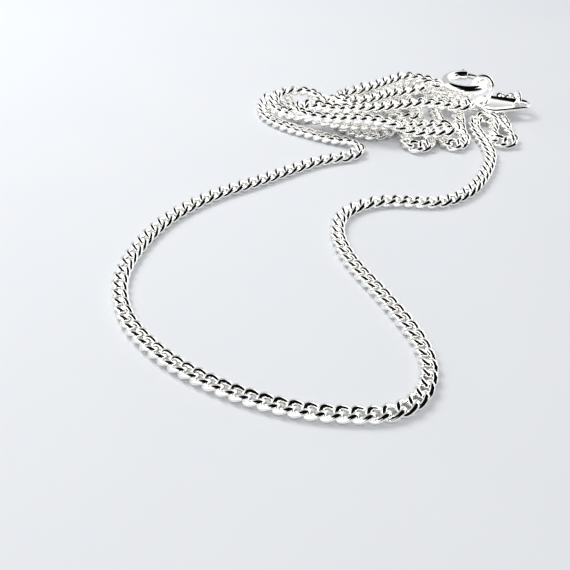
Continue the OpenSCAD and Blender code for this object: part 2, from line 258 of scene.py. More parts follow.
class Shell:
    """Sheets of points gathered into one mesh."""

    # Edges of a creased mesh that bend by more than this, in degrees, stay sharp
    CREASE = 50.0
    # Decimals of a millimetre in which welded points agree
    DECIMALS = 6

    def __init__(self) -> None:
        """Starts with no points and no faces."""
        self.points: list[np.ndarray] = []
        self.faces: list[np.ndarray] = []
        self.count = 0

    def spread(self, sheet: np.ndarray) -> np.ndarray:
        """Adds the points of a sheet.

        Args:
            sheet: Points as (rows, columns, 3).

        Returns:
            The points' numbers as (rows, columns).
        """
        rows, columns = sheet.shape[:2]
        numbers = self.count + np.arange(rows * columns).reshape(rows, columns)
        self.points.append(sheet.reshape(-1, 3))
        self.count += rows * columns
        return numbers

    @staticmethod
    def quads(numbers: np.ndarray, round_rows: bool = False, round_columns: bool = True) -> np.ndarray:
        """Finds the quads of a sheet, or of several alike. They face along (row step) x (column step).

        Args:
            numbers: Point numbers as (..., rows, columns).
            round_rows: The last row joins the first.
            round_columns: The last column joins the first.

        Returns:
            The quads' corners as (..., rows, columns, 4), one row or column fewer where it doesn't go round.
        """
        grid = np.concatenate([numbers, numbers[..., :1, :]], -2) if round_rows else numbers
        grid = np.concatenate([grid, grid[..., :1]], -1) if round_columns else grid
        return np.stack([grid[..., :-1, :-1], grid[..., 1:, :-1], grid[..., 1:, 1:], grid[..., :-1, 1:]], -1)

    def skin(self, numbers: np.ndarray, round_rows: bool = False, round_columns: bool = True) -> None:
        """Covers a sheet with its quads."""
        self.faces.append(self.quads(numbers, round_rows, round_columns).reshape(-1, 4))

    def join(self, first: np.ndarray, second: np.ndarray, closed: bool = False) -> None:
        """Puts quads between two equal lists of points. They face along (first to second) x (list's step).

        Args:
            first: Numbers of the points on one side.
            second: Numbers of the points on the other side.
            closed: The lists go round, and their last points join their first.
        """
        if closed:
            first, second = np.append(first, first[0]), np.append(second, second[0])
        self.faces.append(np.stack([first[:-1], second[:-1], second[1:], first[1:]], 1))

    def close(self, ring: np.ndarray, pole: np.ndarray) -> None:
        """Closes a ring with triangles to a pole. They face the side from which the ring runs left about.

        Args:
            ring: Numbers of the ring's points.
            pole: The pole's place.
        """
        tip = self.spread(pole.reshape(1, 1, 3))[0, 0]
        self.faces.append(np.stack([ring, np.roll(ring, -1), np.full_like(ring, tip)], 1))

    def weld(self) -> None:
        """Makes one point of all that lie in the same place, so that sheets that meet share their edge."""
        rounded = np.round(np.concatenate(self.points), self.DECIMALS)
        points, where = np.unique(rounded, axis=0, return_inverse=True)
        self.points, self.count = [points], len(points)
        self.faces = [where.reshape(-1)[block] for block in self.faces]

    def object(self, name: str, creased: bool = False) -> bpy.types.Object:
        """Makes the mesh and its object.

        Args:
            name: Name of the piece.
            creased: Its sharp bends show as edges.

        Returns:
            The object, at the origin, with its place in its mesh in metres.
        """
        mesh = bpy.data.meshes.new(name)
        faces = [face for block in self.faces for face in block.tolist()]
        mesh.from_pydata((np.concatenate(self.points) * MM).tolist(), [], faces)
        mesh.shade_smooth()
        if creased:
            mesh.set_sharp_from_angle(angle=math.radians(self.CREASE))
        mesh.update()
        made = bpy.data.objects.new(name, mesh)
        bpy.context.scene.collection.objects.link(made)
        return made


def unit(v: np.ndarray) -> np.ndarray:
    """Scales vectors to length one along their last axis."""
    return v / np.linalg.norm(v, axis=-1, keepdims=True)


def turn(points: np.ndarray, degrees: float, axis: int) -> np.ndarray:
    """Turns points about a main axis.

    Args:
        points: Points as (..., 3).
        degrees: Angle, by the right hand rule.
        axis: 0 for X, 1 for Y, 2 for Z.

    Returns:
        The turned points.
    """
    c, s = math.cos(math.radians(degrees)), math.sin(math.radians(degrees))
    a, b = [(1, 2), (2, 0), (0, 1)][axis]
    turned = points.copy()
    turned[..., a] = c * points[..., a] - s * points[..., b]
    turned[..., b] = s * points[..., a] + c * points[..., b]
    return turned


def sweep(path: np.ndarray, side: np.ndarray, up: np.ndarray, radius: np.ndarray, sides: int) -> np.ndarray:
    """Carries a circle along a path: point = path + radius x (cos w x side + sin w x up).

    Args:
        path: Points of the path as (n, 3).
        side: Unit vectors across the path as (n, 3).
        up: Unit vectors across both as (n, 3).
        radius: Radius at each point as (n,).
        sides: Points round the circle.

    Returns:
        A sheet of points as (n, sides, 3).
    """
    w = 2 * np.pi * np.arange(sides) / sides
    across = np.cos(w)[None, :, None] * side[:, None] + np.sin(w)[None, :, None] * up[:, None]
    return path[:, None] + radius[:, None, None] * across


def wire_ring(mid_radius: float, wire_radius: float, steps: int = 40, sides: int = 12) -> np.ndarray:
    """A closed round ring in the XY plane: a circle of wire_radius carried round a circle of mid_radius.

    Args:
        mid_radius: Radius of the ring's middle line.
        wire_radius: Radius of its wire.
        steps: Points round the ring.
        sides: Points round the wire.

    Returns:
        A sheet of points as (steps, sides, 3).
    """
    u = 2 * np.pi * np.arange(steps) / steps
    out = np.stack([np.cos(u), np.sin(u), 0 * u], 1)
    return sweep(mid_radius * out, out, np.tile(UP, (steps, 1)), np.full(steps, wire_radius), sides)


@dataclass
class Finishes:
    """One material for each finish on the necklace.

    Attributes:
        chain: Finish of the links.
        clasp: Finish of the clasp, the jump rings and the tab.
        bolt: Finish of the bolt.
        made: The materials, once they are mixed.
    """

    chain: PolishedSilver = PolishedSilver("polished silver chain")
    clasp: PolishedSilver = PolishedSilver(
        "polished silver clasp", gloss=(0.03, 0.07), patch_mm=2.4, hairline_mm=0.1, hairline_strength=0.03
    )
    bolt: PolishedSilver = PolishedSilver(
        "polished steel bolt", bright="#DADBDD", worn="#C4C6C9", gloss=(0.1, 0.2), patch_mm=0.8
    )
    made: dict[Slot, bpy.types.Material] = field(default_factory=dict)

    def mix(self) -> None:
        """Makes the materials."""
        kinds = (self.chain, self.clasp, self.bolt)
        self.made = {slot: kind.material() for slot, kind in zip(Slot, kinds)}

    def dress(self, piece: bpy.types.Object, slot: Slot, body: Body, *nodes: str) -> None:
        """Gives a piece its finish, its body and the solids that it stands for.

        Args:
            piece: The piece.
            slot: Its material slot.
            body: The body that it rides on.
            nodes: The solids' node names.
        """
        piece.data.materials.append(self.made[slot])
        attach(piece, body.value)
        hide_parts(*nodes)
        LOG.info("%s: %d faces on %s", piece.name, len(piece.data.polygons), body.value)


@dataclass(frozen=True)
class ChainRoute:
    """Where the chain lies: x, y, lift of its underside and roll about its own line.

    Attributes:
        front: The open loop.
        floor_layer: The heap's lowest layer.
        middle_layer: The layer on it.
        from_ring: The layer that the ring lies in, measured from the ring's middle.
        heap_end: The last link before the ring.
        side_strand: The short strand from the open loop's other end to the tab.
    """

    front: Strand = (
        (-1, 9.4), (-3, 8.7), (-5.5, 7.2), (-10, 4.1), (-15, 0.8), (-19, -3.6), (-21.4, -9), (-22.1, -14),
        (-20.8, -19), (-17.5, -23.5), (-13, -27), (-7.5, -29.5), (-2.5, -30.4), (1, -30.2), (3.2, -28.8),
        (4.4, -26), (4.2, -22.5), (2.1, -17), (-0.9, -10.5), (-1.8, -6), (-1.2, -3.2), (0.4, -1.3),
        (3.5, -0.1), (9.5, -0.2), (12.7, 1.8), (15.3, 5.7), (16.8, 10), (16.8, 13),
    )
    floor_layer: Strand = (
        (-1, 9.4), (0.8, 9.9, 0, 20), (1.7, 11.3, 0, 40), (0.8, 13, 0, 20), (-1.5, 14.2), (-4, 15.6),
        (-7, 17.6), (-9.4, 20.4), (-9.9, 23.6), (-8.9, 25.8, 0, 20), (-7.3, 25.8, 0, 30), (-6.5, 24, 0, 20),
        (-6.3, 22, 0, 10), (-5.6, 20.2, 0, 20), (-4.2, 19.8, 0, 30), (-3.4, 21.4, 0, 20),
        (-3.3, 23.4, 0, 10), (-2.3, 25, 0, 20), (-0.7, 24.7, 0, 20), (-0.2, 22.5), (-0.6, 20), (-0.2, 17.6),
        (1.4, 15.9), (3.8, 15.1), (5.7, 15.9, 0, 20), (5.7, 17.8, 0, 20), (4.2, 19.4), (2.9, 21.5),
        (2.6, 24.2), (3.5, 26.2, 0, 20), (5.2, 26.2, 0, 20), (6.1, 24.4), (7, 21.5), (7.9, 18.5), (7.6, 15),
        (7.5, 12.9, 0, 20), (8.8, 11.5, 0, 40), (10.1, 12.8, 0, 30), (10.3, 14.8), (10.1, 18), (9.4, 21.5),
        (9, 24.8), (9.7, 27.8, 0, 20), (11.4, 28.1, 0, 20), (12.2, 25.4), (12.2, 22.5), (12.3, 18.5),
        (12, 14.8), (12, 13.3, 0, 20), (13.2, 12.2, 0, 30), (14.4, 13.4, 0, 20), (14.4, 15.6, 0.05, 10),
        (14.5, 18, 0.8),
    )
    middle_layer: Strand = (
        (14.4, 20.4, 1.3), (12.7, 22.8, 1.3), (12.3, 24.8, 1.25), (11, 26.3, 1.45), (9.3, 26.9, 1.5),
        (7.8, 26.2, 1.4), (7.5, 24.3, 1.3), (8.2, 22, 1.2), (9.4, 19.6, 1.2), (8.8, 17.6, 1.3, 20),
        (7, 17.8, 1.3, 20), (6, 20.2, 1.2), (5.6, 22.8, 1.2), (5.6, 24.9, 1.3), (4.5, 26.4, 1.4, 10),
        (2.8, 26, 1.4, 10), (1.9, 24.2, 1.3), (1.4, 22, 1.2), (2.3, 19.5, 1.2, 10), (1.4, 17.5, 1.2, 20),
        (-0.4, 17.7, 1.2, 20), (-1.7, 19.8, 1.2), (-2.4, 22, 1.3), (-3.5, 24.2, 1.4, 10),
        (-5.3, 25, 1.4, 10), (-7.2, 24.4, 1.5, 10), (-8.4, 22.8, 1.3), (-8.3, 20.6, 1.2),
        (-6.9, 18.9, 1.2, 10), (-4.9, 17.9, 1.3, 10), (-3.1, 16.9, 1.3, 10), (-1.4, 15.9, 1.3),
        (0.6, 15.5, 1.25), (4, 15.45, 1.2), (7, 15.45, 1.2), (10, 15.45, 1.2), (12.2, 15.3, 1.2, 10),
        (13.3, 14.4, 1.25, 20), (12.4, 13.4, 1.25, 20), (10.5, 13.4, 1.2), (8.5, 13.4, 1.3),
        (6.8, 13.5, 1.8), (5.2, 13.8, 2.3), (3.2, 14.4, 2.4), (1, 14.8, 2.4), (-1.2, 14.9, 2.4),
        (-3.7, 15.4, 2.4, 10), (-5.3, 16.6, 2.45, 20), (-4.8, 18.2, 2.45, 20), (-3, 18.4, 2.4, 10),
    )
    from_ring: Strand = (
        (-16.9, -5.9, -1.35), (-14.7, -6.2, -1.15), (-11.9, -6.1, -1.15), (-8.9, -5.3, -1.15),
        (-5.9, -4.7, -1.15), (-3.3, -5.3, -1.15), (-1.3, -5.4, -1.25, 20), (0.1, -3.7, -1.65, 20),
        (-0.4, -1.3, -2.15), (-1.9, 0.5, -2.15), (-3.5, 1.6, -1.25), (-5.3, 2.5, -1.05), (-7.1, 3, -0.95),
        (-8.9, 2.2, -1.05), (-11.3, 0.4, -1.05), (-13.5, -1, -1.15), (-15, -1.6, -1.15, 10),
        (-16.2, -2.8, -1.15, 20), (-15.4, -4.2, -1.15, 10), (-13.5, -4.1, -1.15), (-11.3, -3, -1.15),
        (-9.3, -1.6, -1.25), (-7.7, -1.1, -1.3),
    )
    heap_end: Station = (10.023, 22.574, 2.69)
    side_strand: Strand = (
        (16.8, 13), (16.5, 15.5), (16.4, 17.6, 0, 10), (17.2, 19.2, 0, 30), (18.6, 19.1, 0, 50),
        (18.8, 17.2, 0, 60), (18.2, 15.2, 0, 60), (18.1, 13.6, 0, 50), (19.2, 12.6, 0, 50),
        (20.3, 13.6, 0, 50), (20.2, 15.5, 0, 50), (20.3, 17.6, 0, 20), (20.3, 20), (20.3, 22.4),
        (20.5, 24.7), (21.6, 26.1), (22.995, 25.225, 0.3), (22.995, 24.225, 0.57),
    )

    def heap(self) -> Strand:
        """The whole heap's stations, from the open loop to the ring."""
        top_layer = ((*(RING_AT + p[:3]), *p[3:]) for p in self.from_ring)
        return (*self.floor_layer, *self.middle_layer, *top_layer, self.heap_end)


@dataclass
class CurbChain:
    """Twisted oval links of round wire, each through its neighbours.

    Attributes:
        wire: Thickness of the wire.
        width: Outer width of a link.
        length: Outer length of a link.
        twist: How far the twist lifts and drops the middle of the wire.
        pitch: Distance from one link to the next.
        steps: Points round a link.
        sides: Points round its wire.
        spans: Points worked out between two stations of the route.
        route: Where the chain lies.
    """

    wire: float = 0.56
    width: float = 1.7
    length: float = 2.16
    twist: float = 0.27
    pitch: float = 1.2
    steps: int = 16
    sides: int = 6
    spans: int = 12
    route: ChainRoute = ChainRoute()

    def rise(self, roll: np.ndarray) -> np.ndarray:
        """Height of the chain's middle over its bed: its half height and half width, joined by the roll."""
        return np.hypot((self.twist + self.wire / 2) * np.cos(roll), self.width / 2 * np.sin(roll))

    def smooth(self, stations: Strand) -> np.ndarray:
        """Draws a smooth curve through the stations.

        Each stretch is a cubic whose slopes weigh its neighbours by the square root of their distances. Both
        ends are continued straight. The curve's height is the lift plus the rise at its roll.

        Args:
            stations: x, y, lift and roll in degrees.

        Returns:
            Points of the curve with their roll in radians, as (n, 4).
        """
        given = np.array([(*station, 0, 0)[:4] for station in stations], float)
        q = np.concatenate([[2 * given[0] - given[1]], given, [2 * given[-1] - given[-2]]])
        gap = np.sqrt(np.linalg.norm(np.diff(q[:, :3], axis=0), axis=1))[:, None]
        p0, p1, p2, p3 = q[:-3], q[1:-2], q[2:-1], q[3:]
        g0, g1, g2 = gap[:-2], gap[1:-1], gap[2:]
        m1 = (p2 - p1) + g1 * ((p1 - p0) / g0 - (p2 - p0) / (g0 + g1))
        m2 = (p2 - p1) + g1 * ((p3 - p2) / g2 - (p3 - p1) / (g1 + g2))
        t = (np.arange(self.spans) / self.spans)[None, :, None]
        a, b = (2 * (p1 - p2) + m1 + m2)[:, None], (-3 * (p1 - p2) - 2 * m1 - m2)[:, None]
        curve = (((a * t + b) * t + m1[:, None]) * t + p1[:, None]).reshape(-1, 4)
        curve = np.concatenate([curve, given[-1:]])
        curve[:, 3] = np.radians(curve[:, 3])
        curve[:, 2] += self.rise(curve[:, 3])
        return curve

    def places(self, stations: Strand, skip: int) -> np.ndarray:
        """Places of the links: even steps along the smooth curve, nearest to the pitch.

        Args:
            stations: The strand's route.
            skip: Links left out at the start, which another strand has.

        Returns:
            Middle and roll of each link as (n, 4).
        """
        curve = self.smooth(stations)
        along = np.concatenate([[0], np.cumsum(np.linalg.norm(np.diff(curve[:, :3], axis=0), axis=1))])
        wanted = np.linspace(0, along[-1], round(along[-1] / self.pitch) + 1)
        return np.stack([np.interp(wanted, along, curve[:, k]) for k in range(4)], 1)[skip:]

    def link(self) -> np.ndarray:
        """One link about its own middle: round wire on x = a cos t, y = b sin t, z = -twist sin 2t.

        Returns:
            A sheet of points as (steps, sides, 3).
        """
        t = 2 * np.pi * (np.arange(self.steps) + 0.5) / self.steps
        a, b = (self.length - self.wire) / 2, (self.width - self.wire) / 2
        line = np.stack([a * np.cos(t), b * np.sin(t), -self.twist * np.sin(2 * t)], 1)
        way = unit(np.roll(line, -1, 0) - np.roll(line, 1, 0))
        side = unit(np.cross(UP, way))
        return sweep(line, side, np.cross(way, side), np.full(self.steps, self.wire / 2), self.sides)

    def string(self, shell: Shell, places: np.ndarray) -> None:
        """Sets a link at each place, along the strand and rolled with it.

        A link that would dip into the table is lifted onto it.

        Args:
            shell: The mesh that gets the links.
            places: Middle and roll of each link as (n, 4).
        """
        middle, roll = places[:, :3], places[:, 3:]
        ends = np.concatenate([middle[:1], middle, middle[-1:]])
        way = unit(ends[2:] - ends[:-2])
        flat = unit(np.cross(UP, way))
        high = np.cross(way, flat)
        side, up = np.cos(roll) * flat + np.sin(roll) * high, np.cos(roll) * high - np.sin(roll) * flat
        frames = np.stack([way, side, up], 1)
        links = middle[:, None, None] + np.einsum("jkc,ncd->njkd", self.link(), frames) - ORIGIN_AT
        links[..., 2] -= np.minimum(links[..., 2].min(axis=(1, 2)), 0)[:, None, None]
        numbers = shell.spread(links.reshape(-1, self.sides, 3)).reshape(-1, self.steps, self.sides)
        outwards = shell.quads(numbers, round_rows=True)[..., [0, 3, 2, 1]]
        shell.faces.append(outwards.reshape(-1, 4))

    def build(self, finishes: Finishes) -> None:
        """Builds the open front loop and the heap behind it.

        Args:
            finishes: The necklace's materials.
        """
        front, heap = Shell(), Shell()
        self.string(front, self.places(self.route.front, 0))
        self.string(heap, self.places(self.route.heap(), 1))
        self.string(heap, self.places(self.route.side_strand, 1))
        finishes.dress(front.object("front_links"), Slot.CHAIN, Body.NECKLACE, "chain_front")
        finishes.dress(heap.object("heap_links"), Slot.CHAIN, Body.NECKLACE, "chain_heap")


@dataclass(frozen=True)
class SpringRing:
    """A hollow ring with a mouth, a spring bolt inside it and a soldered end loop.

    Angles are degrees about the ring's middle, from +X towards +Y, unless an attribute says otherwise.

    Attributes:
        mid_radius: Radius of the tube's middle line.
        tube: Radius of the tube.
        bore: Radius of the bore.
        mouth: Angles between which the ring is open.
        seat: Angle over which the seat for the bolt's tip goes in.
        bore_end: Angle at which the bore ends.
        slot: Angles between which the trigger runs.
        slot_height: Height of the slot.
        rim: Rounding of the mouth's edges.
        rim_sweep: Angle over which they are rounded.
        bolt_span: Angles between which the bolt lies.
        bolt: Radius of the bolt.
        end_hole: Angle at each end of the bolt, from its own line, where its rows begin.
        trigger: Angle of the trigger.
        stem: Radius of the trigger's stem.
        knob: Radius of its knob.
        knob_at: Distance of the knob from the ring's middle.
        knob_hole: Angle at the knob's outer pole, from the stem's line, where its rows begin.
        loop_angle: Angle of the end loop.
        loop_at: Distance of the end loop's middle from the ring's.
        loop_radius: Radius of the end loop's middle line.
        loop_wire: Radius of its wire.
        tube_points: Points along the tube's stretches: rim, wall, slot, wall, solid part, rim.
        slot_points: Points of the tube's section over the slot.
        section_points: Points of the section over the rest.
        end_points: Points along each end of the bolt.
        bolt_points: Points along the bolt between its ends.
        knob_points: Points over the knob.
        pin_sides: Points round the bolt and its trigger.
    """

    mid_radius: float = 2.35
    tube: float = 0.65
    bore: float = 0.4
    mouth: tuple[float, float] = (30, 70)
    seat: float = 6
    bore_end: float = 158
    slot: tuple[float, float] = (76, 132)
    slot_height: float = 0.52
    rim: float = 0.06
    rim_sweep: float = 1.5
    bolt_span: tuple[float, float] = (26, 112)
    bolt: float = 0.35
    end_hole: float = 8
    trigger: float = 82
    stem: float = 0.2
    knob: float = 0.38
    knob_at: float = 3.48
    knob_hole: float = 6
    loop_angle: float = 188
    loop_at: float = 3.825
    loop_radius: float = 0.75
    loop_wire: float = 0.225
    tube_points: tuple[int, ...] = (3, 3, 13, 7, 45, 3)
    slot_points: int = 4
    section_points: int = 20
    end_points: int = 7
    bolt_points: int = 24
    knob_points: int = 14
    pin_sides: int = 16

    def place(self, points: np.ndarray, angle: float = 0) -> np.ndarray:
        """Turns points about the ring's axis and moves them to the ring's place."""
        return turn(points, angle, 2) + RING_AT - ORIGIN_AT

    def arc(self, angles: np.ndarray, radius: np.ndarray, section: np.ndarray) -> np.ndarray:
        """Part of a ring: (R + r cos v) out + (r sin v) up, with r by the angle and v round the section.

        Args:
            angles: Degrees round the ring as (n,).
            radius: Radius of the section at each angle as (n,).
            section: Degrees round the section as (m,), 0 outwards.

        Returns:
            A sheet of points as (n, m, 3), in its place.
        """
        u, v = np.radians(angles)[:, None], np.radians(section)[None]
        out = self.mid_radius + radius[:, None] * np.cos(v)
        high = radius[:, None] * np.sin(v) + 0 * u
        return self.place(np.stack([out * np.cos(u), out * np.sin(u), high], -1))

    def middle(self, angle: float) -> np.ndarray:
        """The place on the tube's middle line at an angle."""
        return self.arc(np.array([angle]), np.zeros(1), np.zeros(1))[0, 0]

    def section(self, radius: float) -> np.ndarray:
        """Angles round the tube's section: over the slot, from its lower to its upper edge, then the rest."""
        edge = math.degrees(math.asin(self.slot_height / 2 / radius))
        rest = np.linspace(edge, 360 - edge, self.section_points + 2)[1:-1]
        return np.concatenate([np.linspace(-edge, edge, self.slot_points), rest])

    def tube_shell(self) -> Shell:
        """The tube with its mouth, its slot, its bore and the seat for the bolt's tip.

        Returns:
            The mesh.
        """
        shell = Shell()
        first, last = self.mouth[1], 360 + self.mouth[0]
        marks = (first, first + self.rim_sweep, *self.slot, self.bore_end, last - self.rim_sweep, last)
        stretches = zip(marks, marks[1:], self.tube_points)
        angles = np.concatenate([np.linspace(*stretch)[:-1] for stretch in stretches] + [[last]])
        eased = np.clip(1 - np.minimum(angles - first, last - angles) / self.rim_sweep, 0, 1)
        outer_radius = self.tube - self.rim * (1 - np.sqrt(1 - eased**2))
        outer = shell.spread(self.arc(angles, outer_radius, self.section(self.tube)))
        deep = angles[angles <= self.bore_end]
        inner = shell.spread(self.arc(deep, np.full(len(deep), self.bore), self.section(self.bore)))
        start, stop = np.searchsorted(angles, self.slot)
        over, along = slice(self.slot_points), slice(start, stop + 1)
        for sheet, corner_order in ((outer, [0, 1, 2, 3]), (inner, [3, 2, 1, 0])):
            quads = shell.quads(sheet)
            kept = np.ones(quads.shape[:2], bool)
            kept[start:stop, : self.slot_points - 1] = False
            shell.faces.append(quads[kept][:, corner_order])
        shell.join(inner[along, 0], outer[along, 0])
        shell.join(outer[along, over][:, -1], inner[along, over][:, -1])
        shell.join(outer[start, over], inner[start, over])
        shell.join(inner[stop, over], outer[stop, over])
        shell.join(inner[0], outer[0], closed=True)
        shell.close(inner[-1], self.middle(self.bore_end))
        ends = np.array([last, last - self.seat])
        seat = shell.spread(self.arc(ends, np.full(2, self.bore), self.section(self.bore)))
        shell.join(outer[-1], seat[0], closed=True)
        shell.skin(seat)
        shell.close(seat[1][::-1], self.middle(ends[1]))
        loop = wire_ring(self.loop_radius, self.loop_wire) + self.loop_at * RIGHT
        shell.skin(shell.spread(self.place(loop, self.loop_angle)), round_rows=True)
        return shell

    def bolt_shell(self) -> Shell:
        """The bolt as a bent pin, and its trigger: a stem and knob turned about a line outwards.

        Each end of the pin is cupped, with a small point in the cup.

        Returns:
            The mesh.
        """
        shell = Shell()
        w = np.radians(np.linspace(self.end_hole, 90, self.end_points))
        inwards = math.degrees(self.bolt / self.mid_radius) * (1 - np.sin(w))
        low, high = self.bolt_span[0] + inwards, self.bolt_span[1] - inwards
        between = np.linspace(low[-1], high[-1], self.bolt_points + 2)[1:-1]
        end_radius = self.bolt * np.cos(np.radians(90) - w)
        radius = np.concatenate([end_radius, np.full(self.bolt_points, self.bolt), end_radius[::-1]])
        section = 360 * np.arange(self.pin_sides) / self.pin_sides
        pin = shell.spread(self.arc(np.concatenate([low, between, high[::-1]]), radius, section))
        shell.skin(pin)
        shell.close(pin[0], self.middle(self.bolt_span[0]))
        shell.close(pin[-1][::-1], self.middle(self.bolt_span[1]))
        neck = math.degrees(math.asin(self.stem / self.knob))
        sphere = np.radians(np.linspace(180 - neck, self.knob_hole, self.knob_points))
        along = np.concatenate([[self.mid_radius], self.knob_at + self.knob * np.cos(sphere)])
        across = np.concatenate([[self.stem], self.knob * np.sin(sphere)])
        side, up = (np.tile(direction, (len(along), 1)) for direction in (AWAY, UP))
        turned = sweep(along[:, None] * RIGHT, side, up, across, self.pin_sides)
        trigger = shell.spread(self.place(turned, self.trigger))
        shell.skin(trigger[:, ::-1])
        shell.close(trigger[0][::-1], self.place(self.mid_radius * RIGHT, self.trigger))
        shell.close(trigger[-1], self.place((self.knob_at + self.knob) * RIGHT, self.trigger))
        return shell

    def build(self, finishes: Finishes) -> None:
        """Builds the ring and its bolt.

        Args:
            finishes: The necklace's materials.
        """
        ring = self.tube_shell().object("spring_ring", creased=True)
        finishes.dress(ring, Slot.CLASP, Body.NECKLACE, "clasp_ring")
        bolt = self.bolt_shell().object("spring_bolt", creased=True)
        finishes.dress(bolt, Slot.BOLT, Body.BOLT, "clasp_bolt")


@dataclass
class JumpRings:
    """The tall ring round the clasp's tube, and the two small rings at the chain's ends.

    Attributes:
        clasp: The clasp that two of them hang on.
        tall_radius: Radius of the tall ring's round ends, at the middle of its wire.
        tall_straight: Half the length of its straights.
        tall_wire: Radius of its wire.
        tall_drop: How far its middle hangs under the tube's.
        tall_lean: Lean of its top towards the viewer, degrees.
        tall_swing: Swing of its foot in towards the clasp, degrees.
        tall_angle: Where it hangs on the clasp, degrees from +X.
        round_points: Points along each of its round ends.
        straight_points: Points along each of its straights.
        tall_sides: Points round its wire.
        small_wire: Radius of the two small rings' wire.
        start_radius: Radius of the ring at the end loop, at the middle of its wire.
        start_out: Distance of its middle from the clasp's.
        start_under: How far it lies under the clasp's middle.
        tip_radius: Radius of the ring at the tab's tip, at the middle of its wire.
        tip_at: Its middle.
    """

    clasp: SpringRing = SpringRing()
    tall_radius: float = 1.15
    tall_straight: float = 1.0
    tall_wire: float = 0.3
    tall_drop: float = 1.05
    tall_lean: float = 12.0
    tall_swing: float = 13.0
    tall_angle: float = -22.0
    round_points: int = 24
    straight_points: int = 4
    tall_sides: int = 16
    small_wire: float = 0.2
    start_radius: float = 0.9
    start_out: float = 4.755
    start_under: float = 0.34
    tip_radius: float = 1.0
    tip_at: Point = (22.995, 23.032, 1.55)

    def tall(self) -> np.ndarray:
        """Two half circles and two straights of one wire, hung round the tube and leaning to the viewer.

        Returns:
            A sheet of points.
        """
        u = np.radians(np.linspace(0, 180, self.round_points))
        out = np.stack([np.cos(u), 0 * u, np.sin(u)], 1)
        arc, lift = self.tall_radius * out, self.tall_straight * UP
        share = np.linspace(0, 1, self.straight_points + 2)[1:-1, None]
        left = (1 - share) * (arc[-1] + lift) + share * (arc[-1] - lift)
        right = (1 - share) * (arc[0] - lift) + share * (arc[0] + lift)
        path = np.concatenate([arc + lift, left, -arc - lift, right])
        out_left, out_right = (np.tile(out[k], (self.straight_points, 1)) for k in (-1, 0))
        outwards = np.concatenate([out, out_left, -out, out_right])
        back = np.tile(-AWAY, (len(path), 1))
        wire = sweep(path, outwards, back, np.full(len(path), self.tall_wire), self.tall_sides)
        leaning = turn(wire - self.tall_drop * UP, -self.tall_lean, 0)
        on_tube = turn(leaning, self.tall_swing, 1) + self.clasp.mid_radius * RIGHT
        return self.clasp.place(on_tube, self.tall_angle)

    def start(self) -> np.ndarray:
        """The small ring between the end loop and the chain, upright and in line with both."""
        ring = turn(wire_ring(self.start_radius, self.small_wire), 90, 0)
        return self.clasp.place(ring + self.start_out * RIGHT - self.start_under * UP, self.clasp.loop_angle)

    def tip(self) -> np.ndarray:
        """The small ring through the tab's tip hole and the chain's last link, upright across them."""
        return turn(wire_ring(self.tip_radius, self.small_wire), 90, 1) + np.array(self.tip_at) - ORIGIN_AT

    def build(self, finishes: Finishes) -> None:
        """Builds the three rings.

        Args:
            finishes: The necklace's materials.
        """
        rings = (
            ("tall_ring", self.tall(), "jump_ring_clasp"),
            ("start_ring", self.start(), "jump_ring_start"),
            ("tip_ring", self.tip(), "jump_ring_tab"),
        )
        for name, sheet, node in rings:
            shell = Shell()
            shell.skin(shell.spread(sheet), round_rows=True)
            finishes.dress(shell.object(name), Slot.CLASP, Body.NECKLACE, node)


